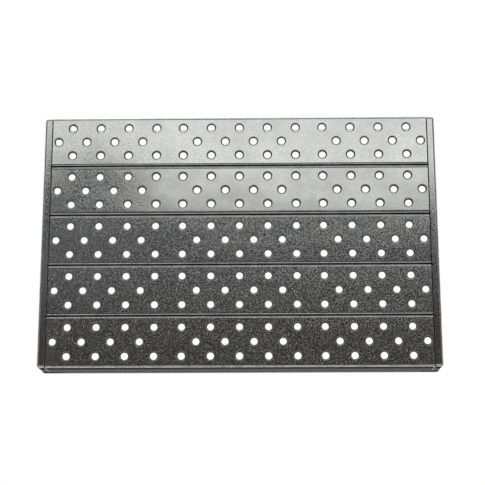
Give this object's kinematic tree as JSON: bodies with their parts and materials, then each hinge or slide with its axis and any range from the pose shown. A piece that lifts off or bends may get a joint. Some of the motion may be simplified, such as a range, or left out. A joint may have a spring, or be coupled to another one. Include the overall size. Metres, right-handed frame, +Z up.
{
  "type": "scaffold plank",
  "caption": "Short perforated steel scaffold plank: shallow folded planks side by side, skirted at front and back, welded on cross bearers between pressed end caps.",
  "frame": {"origin": "centre of the footprint, on the bearing plane under the end caps", "axes": "+X along the planks, +Y across them, +Z up to the walking face"},
  "size_m": [0.496, 0.32, 0.045],
  "materials": {
    "plank_sheet": "galvanised sheet, smooth, with fine grain",
    "end_cap": "galvanised pressed sheet",
    "inner_steel": "galvanised sheet, duller, inside the deck",
    "weld": "weld bead under the zinc"
  },
  "bodies": {
    "root": {"deck_plank_1": "plank_sheet", "deck_plank_2": "plank_sheet", "deck_plank_3": "plank_sheet", "deck_plank_4": "plank_sheet", "deck_plank_5": "plank_sheet", "stiffening_rib_left_1": "inner_steel", "stiffening_rib_left_2": "inner_steel", "stiffening_rib_left_3": "inner_steel", "stiffening_rib_left_4": "inner_steel", "stiffening_rib_left_5": "inner_steel", "end_cap_left": "end_cap", "cross_bearer_left": "inner_steel", "cap_welds_left": "weld", "bearer_welds_left": "weld", "stiffening_rib_right_1": "inner_steel", "stiffening_rib_right_2": "inner_steel", "stiffening_rib_right_3": "inner_steel", "stiffening_rib_right_4": "inner_steel", "stiffening_rib_right_5": "inner_steel", "end_cap_right": "end_cap", "cross_bearer_right": "inner_steel", "cap_welds_right": "weld", "bearer_welds_right": "weld"}
  },
  "joints": []
}
